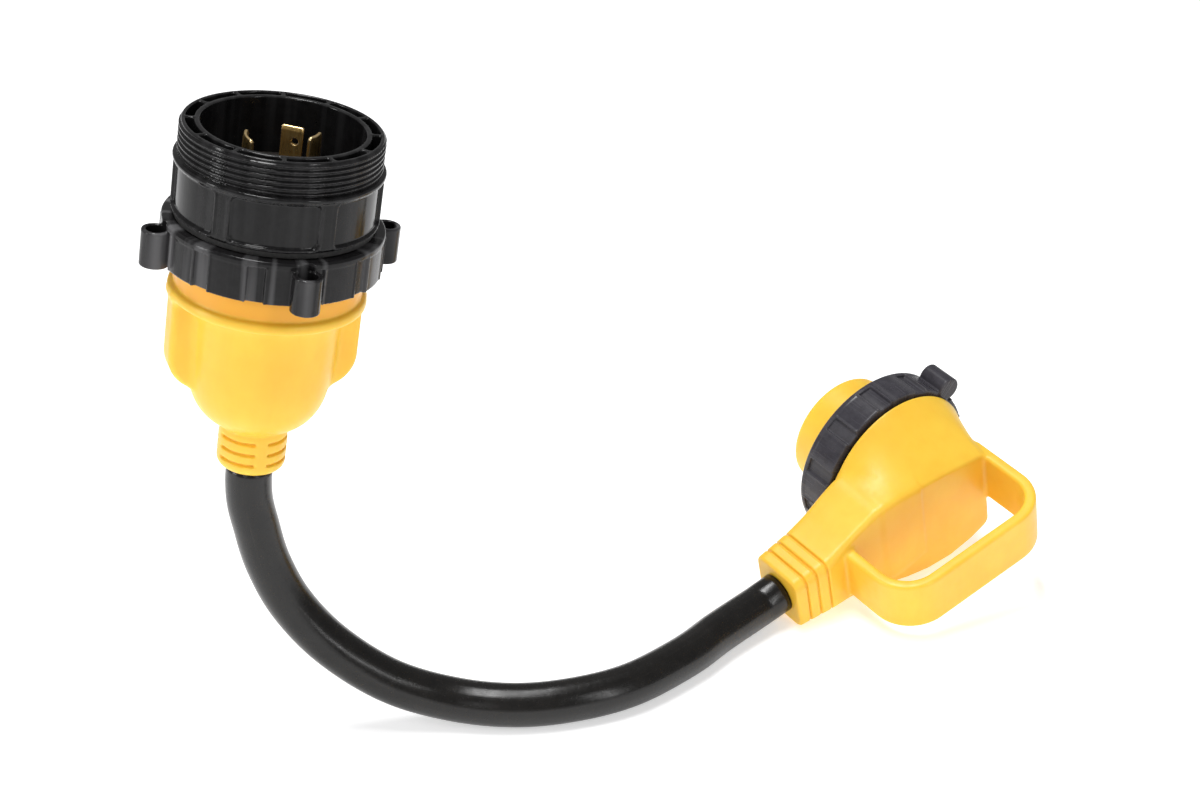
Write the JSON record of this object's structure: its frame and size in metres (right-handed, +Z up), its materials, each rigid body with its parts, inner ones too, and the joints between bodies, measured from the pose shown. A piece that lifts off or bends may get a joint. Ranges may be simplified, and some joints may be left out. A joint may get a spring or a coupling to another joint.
{
  "type": "locking power adapter dogbone",
  "caption": "Short stiff cable with a cylindrical locking plug at one end and a right-angle locking connector with a D-shaped pull handle at the other",
  "frame": {"origin": "on the surface that the adapter stands on, under the middle of the box of its two ends, measured without the cable", "axes": "+Z up, +X from the plug towards the connector, +Y away from the side that the handle's bar faces"},
  "size_m": [0.3506, 0.2219, 0.2581],
  "materials": {
    "yellow_overmould": "satin moulded yellow plastic with a fine grain",
    "black_plastic": "glossy moulded black plastic",
    "black_ring_plastic": "semi-gloss moulded black plastic",
    "cable_jacket": "satin black flexible jacket",
    "seal_rubber": "matt black rubber",
    "carrier_plastic": "dark moulded plastic",
    "brass": "stamped brass with bright edges",
    "steel_ferrule": "plain crimped steel",
    "core_black": "black wire insulation",
    "core_white": "white wire insulation",
    "core_green": "green wire insulation"
  },
  "bodies": {
    "adapter": {"cable_jacket": "cable_jacket", "connector_body": "yellow_overmould", "connector_contact_carrier": "yellow_overmould", "connector_contact_ground": "brass", "connector_contact_hot": "brass", "connector_contact_neutral": "brass", "connector_core_ground": "core_green", "connector_core_hot": "core_black", "connector_core_neutral": "core_white", "connector_crimp_ground": "brass", "connector_crimp_hot": "brass", "connector_crimp_neutral": "brass", "connector_ferrule": "steel_ferrule", "plug_blade_carrier": "carrier_plastic", "plug_blade_ground": "brass", "plug_blade_hot": "brass", "plug_blade_neutral": "brass", "plug_body": "yellow_overmould", "plug_core_ground": "core_green", "plug_core_hot": "core_black", "plug_core_neutral": "core_white", "plug_crimp_ground": "brass", "plug_crimp_hot": "brass", "plug_crimp_neutral": "brass", "plug_ferrule": "steel_ferrule", "sleeve_seal": "seal_rubber", "threaded_sleeve": "black_plastic"},
    "plug_washer": {"plug_ring_washer": "seal_rubber"},
    "plug_ring": {"plug_lock_ring": "black_ring_plastic"},
    "connector_washer": {"connector_ring_washer": "seal_rubber"},
    "connector_ring": {"connector_lock_ring": "black_ring_plastic"}
  },
  "joints": [
    {"name": "plug_ring_slide", "type": "slide", "parent": "adapter", "child": "plug_washer", "axis": [-0.1506, -0.036, -0.9879], "range_m": [0, 0.008]},
    {"name": "plug_ring_turn", "type": "hinge", "parent": "plug_washer", "child": "plug_ring", "pos_m": [-0.13009, -0.06612, 0.2096], "axis": [0.1506, 0.036, 0.9879], "continuous": true},
    {"name": "connector_ring_slide", "type": "slide", "parent": "adapter", "child": "connector_washer", "axis": [-0.5909, 0.7959, 0.132], "range_m": [0, 0.004]},
    {"name": "connector_ring_turn", "type": "hinge", "parent": "connector_washer", "child": "connector_ring", "pos_m": [0.11143, 0.07313, 0.04059], "axis": [-0.5909, 0.7959, 0.132], "continuous": true}
  ]
}
